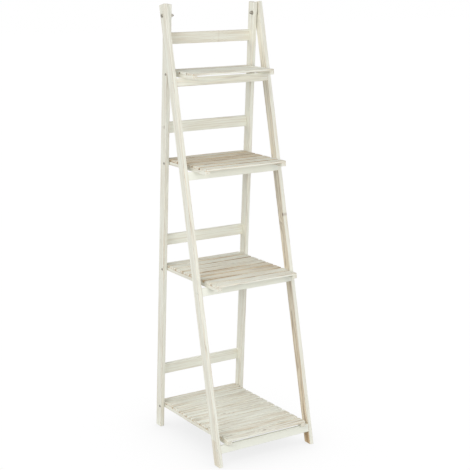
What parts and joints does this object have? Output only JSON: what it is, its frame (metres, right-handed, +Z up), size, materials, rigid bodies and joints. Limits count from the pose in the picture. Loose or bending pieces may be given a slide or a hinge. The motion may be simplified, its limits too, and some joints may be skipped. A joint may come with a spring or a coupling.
{
  "type": "plant ladder stand",
  "caption": "Folding wooden plant ladder: slatted shelves of growing depth between two leaning frames that are hinged at the top and fold flat.",
  "frame": {"origin": "on the floor, under the middle of the stand's width and depth", "axes": "+Z up, -Y towards the front, where the shelves reach out, +X to the right of someone who looks at the front"},
  "size_m": [0.4066, 0.4738, 1.556],
  "materials": {
    "whitewashed_pine": "thin matt whitewash, with the grain and knots showing through",
    "zinc_plated_steel": "dull zinc plating"
  },
  "bodies": {
    "rear_frame": {"rear_upright_left": "whitewashed_pine", "rear_upright_right": "whitewashed_pine", "rear_rail_1": "whitewashed_pine", "rear_rail_2": "whitewashed_pine", "rear_rail_3": "whitewashed_pine", "rear_rail_4": "whitewashed_pine", "pivot_bolts": "zinc_plated_steel", "pivot_spacers": "zinc_plated_steel", "pivot_washers": "zinc_plated_steel", "pivot_nuts": "zinc_plated_steel", "rear_rail_screws": "zinc_plated_steel"},
    "front_frame": {"front_leg_left": "whitewashed_pine", "front_leg_right": "whitewashed_pine", "front_rail_1": "whitewashed_pine", "front_rail_2": "whitewashed_pine", "front_rail_3": "whitewashed_pine", "front_rail_4": "whitewashed_pine", "front_rail_screws": "zinc_plated_steel"},
    "shelf_1": {"shelf_1_batten_left": "whitewashed_pine", "shelf_1_batten_right": "whitewashed_pine", "shelf_1_slat_1": "whitewashed_pine", "shelf_1_slat_2": "whitewashed_pine", "shelf_1_slat_3": "whitewashed_pine", "shelf_1_slat_4": "whitewashed_pine", "shelf_1_pivot_screws": "zinc_plated_steel", "shelf_1_nails": "zinc_plated_steel"},
    "shelf_2": {"shelf_2_batten_left": "whitewashed_pine", "shelf_2_batten_right": "whitewashed_pine", "shelf_2_slat_1": "whitewashed_pine", "shelf_2_slat_2": "whitewashed_pine", "shelf_2_slat_3": "whitewashed_pine", "shelf_2_slat_4": "whitewashed_pine", "shelf_2_slat_5": "whitewashed_pine", "shelf_2_slat_6": "whitewashed_pine", "shelf_2_pivot_screws": "zinc_plated_steel", "shelf_2_nails": "zinc_plated_steel"},
    "shelf_3": {"shelf_3_batten_left": "whitewashed_pine", "shelf_3_batten_right": "whitewashed_pine", "shelf_3_slat_1": "whitewashed_pine", "shelf_3_slat_2": "whitewashed_pine", "shelf_3_slat_3": "whitewashed_pine", "shelf_3_slat_4": "whitewashed_pine", "shelf_3_slat_5": "whitewashed_pine", "shelf_3_slat_6": "whitewashed_pine", "shelf_3_slat_7": "whitewashed_pine", "shelf_3_slat_8": "whitewashed_pine", "shelf_3_pivot_screws": "zinc_plated_steel", "shelf_3_nails": "zinc_plated_steel"},
    "shelf_4": {"shelf_4_batten_left": "whitewashed_pine", "shelf_4_batten_right": "whitewashed_pine", "shelf_4_slat_1": "whitewashed_pine", "shelf_4_slat_2": "whitewashed_pine", "shelf_4_slat_3": "whitewashed_pine", "shelf_4_slat_4": "whitewashed_pine", "shelf_4_slat_5": "whitewashed_pine", "shelf_4_slat_6": "whitewashed_pine", "shelf_4_slat_7": "whitewashed_pine", "shelf_4_slat_8": "whitewashed_pine", "shelf_4_slat_9": "whitewashed_pine", "shelf_4_slat_10": "whitewashed_pine", "shelf_4_pivot_screws": "zinc_plated_steel", "shelf_4_nails": "zinc_plated_steel"}
  },
  "joints": [
    {"name": "front_frame_fold", "type": "hinge", "parent": "rear_frame", "child": "front_frame", "pos_m": [0, 0.11999, 1.515], "axis": [1, 0, 0], "range_deg": [0, 15.95]},
    {"name": "shelf_1_fold", "type": "hinge", "parent": "rear_frame", "child": "shelf_1", "pos_m": [0, 0.13205, 1.315], "axis": [-1, 0, 0], "range_deg": [0, 86.5]},
    {"name": "shelf_2_fold", "type": "hinge", "parent": "rear_frame", "child": "shelf_2", "pos_m": [0, 0.15092, 1.002], "axis": [-1, 0, 0], "range_deg": [0, 86.5]},
    {"name": "shelf_3_fold", "type": "hinge", "parent": "rear_frame", "child": "shelf_3", "pos_m": [0, 0.17437, 0.613], "axis": [-1, 0, 0], "range_deg": [0, 86.5]},
    {"name": "shelf_4_fold", "type": "hinge", "parent": "rear_frame", "child": "shelf_4", "pos_m": [0, 0.2065, 0.08], "axis": [-1, 0, 0], "range_deg": [0, 86.5]}
  ]
}
